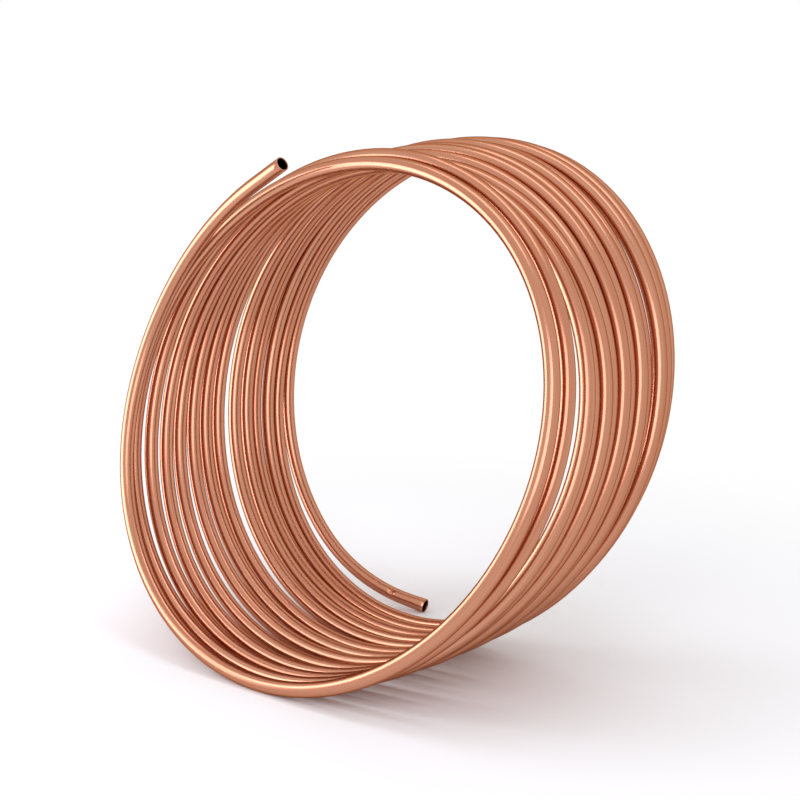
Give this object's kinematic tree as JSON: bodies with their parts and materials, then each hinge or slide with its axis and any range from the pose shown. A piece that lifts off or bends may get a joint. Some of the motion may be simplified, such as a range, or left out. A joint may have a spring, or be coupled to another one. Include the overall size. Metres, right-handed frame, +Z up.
{
  "type": "copper tube coil",
  "caption": "Loose open coil of soft round copper tube with two free square-cut ends.",
  "frame": {"origin": "centre of the bounding box's bottom, on the floor under the coil", "axes": "+Y along the coil's axis, from the near free end to the far free end; +Z up"},
  "size_m": [0.3734, 0.2576, 0.3575],
  "materials": {
    "copper": "bright drawn copper"
  },
  "bodies": {
    "root": {"copper_tube": "copper"}
  },
  "joints": []
}
